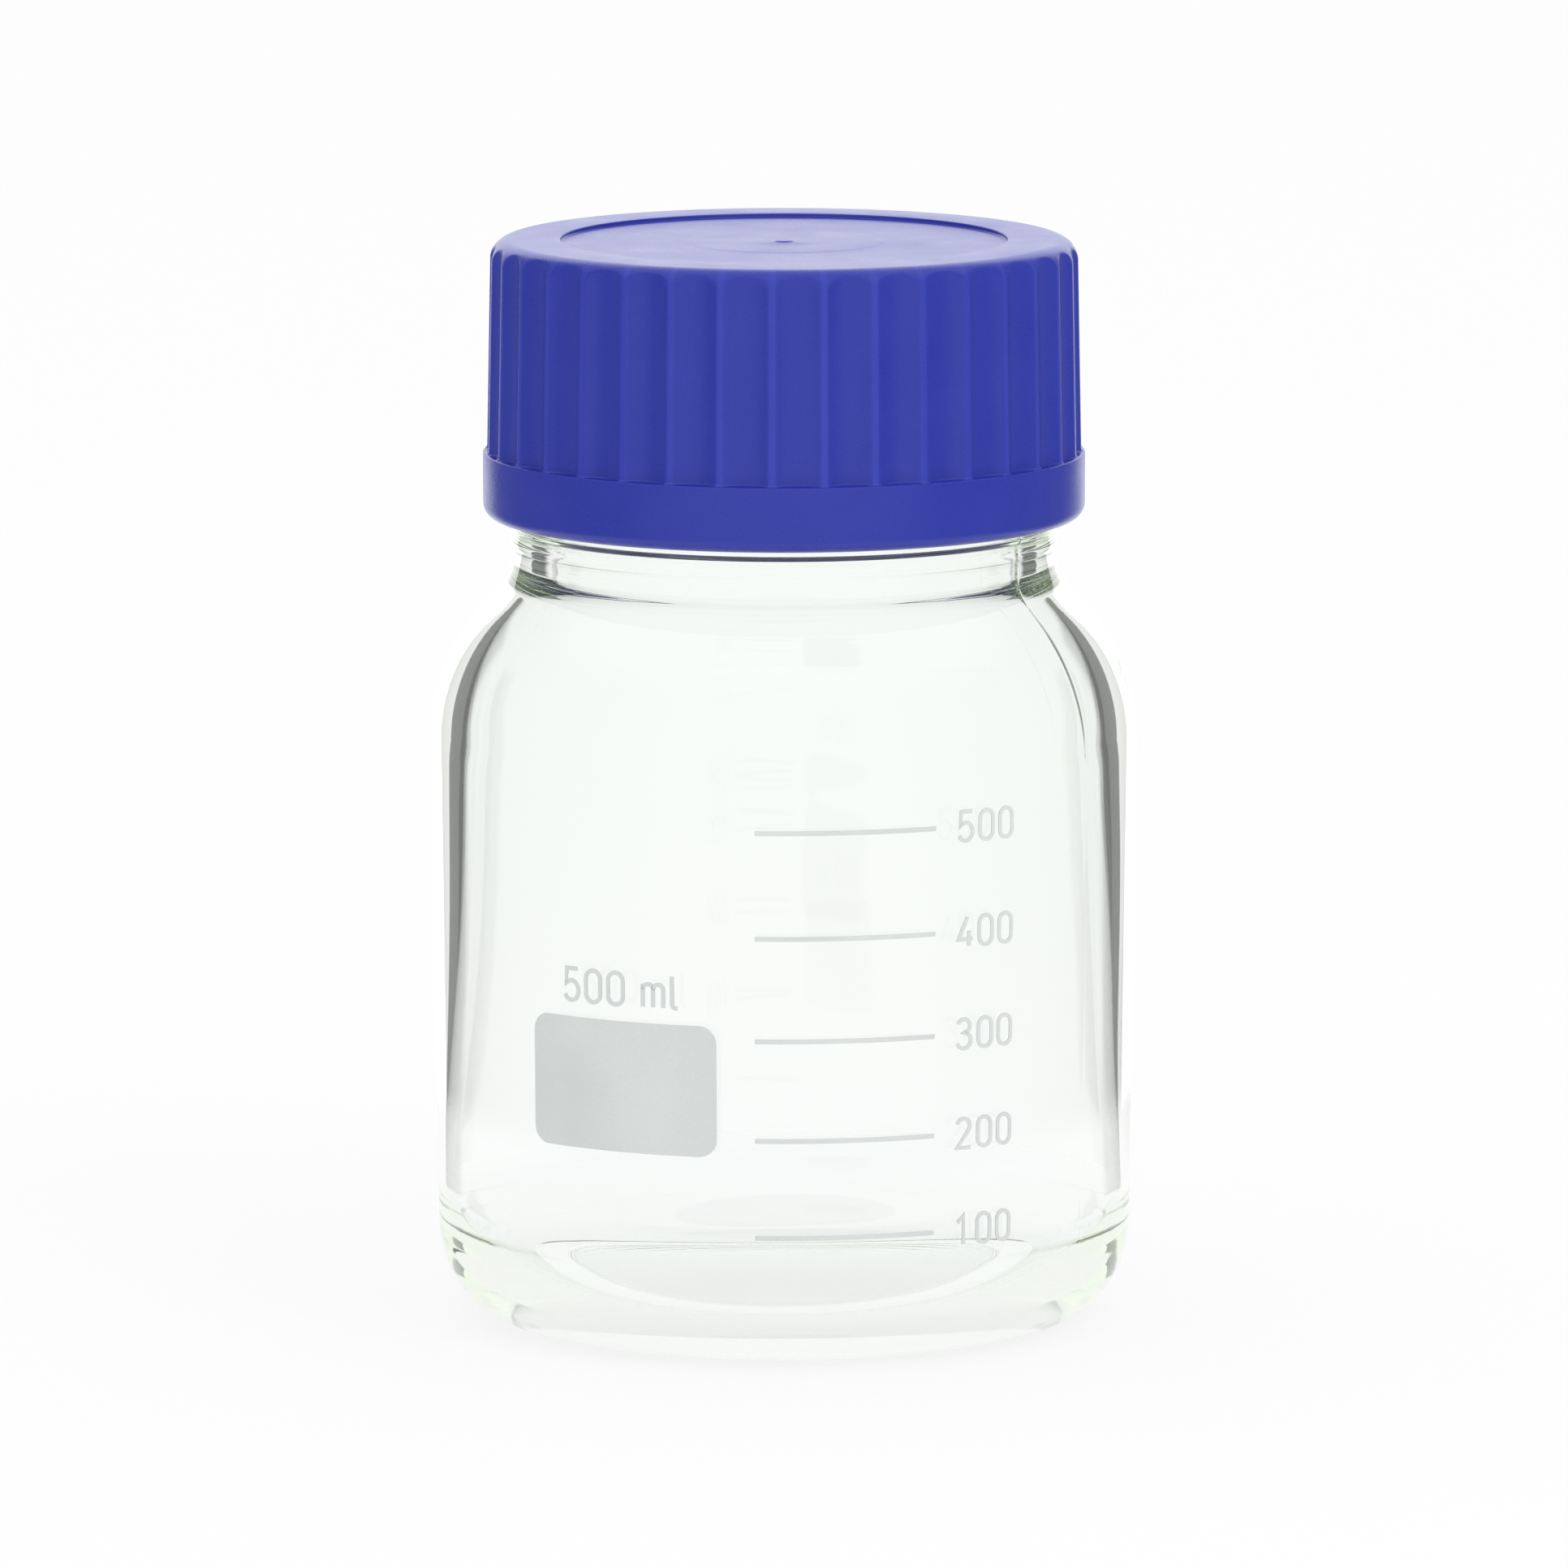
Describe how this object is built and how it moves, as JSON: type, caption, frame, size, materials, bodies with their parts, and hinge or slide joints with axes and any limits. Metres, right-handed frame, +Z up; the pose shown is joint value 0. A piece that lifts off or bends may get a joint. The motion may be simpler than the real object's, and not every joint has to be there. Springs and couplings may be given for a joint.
{
  "type": "reagent bottle",
  "caption": "Wide-mouth clear glass reagent bottle with a ribbed screw cap, sealing disc, drip-free pouring ring and a fired volume scale.",
  "frame": {"origin": "centre of the standing ring, on the surface the bottle stands on", "axes": "+Z up along the bottle's axis; the volume scale faces -Y; +X is to the right when the scale is read"},
  "size_m": [0.101, 0.101, 0.1555],
  "materials": {
    "glass": "clear, fire-polished",
    "cap_plastic": "satin moulded",
    "ring_plastic": "satin moulded",
    "seal_rubber": "matt",
    "enamel": "fired, matt"
  },
  "bodies": {
    "bottle": {"glass_bottle": "glass", "pouring_ring": "ring_plastic", "writing_panel": "enamel", "graduation_100": "enamel", "graduation_200": "enamel", "graduation_300": "enamel", "graduation_400": "enamel", "graduation_500": "enamel"},
    "seal": {"cap_seal": "seal_rubber"},
    "cap": {"screw_cap": "cap_plastic"}
  },
  "joints": [
    {"name": "cap_lift", "type": "slide", "parent": "bottle", "child": "seal", "axis": [0, 0, 1], "range_m": [0, 0.04]},
    {"name": "cap_turn", "type": "hinge", "parent": "seal", "child": "cap", "pos_m": [0, 0, 0.136], "axis": [0, 0, 1], "range_deg": [0, 720]}
  ],
  "couplings": [
    {"joint": "cap_lift", "follows": "cap_turn", "m_per_rad": 0.0031831}
  ]
}
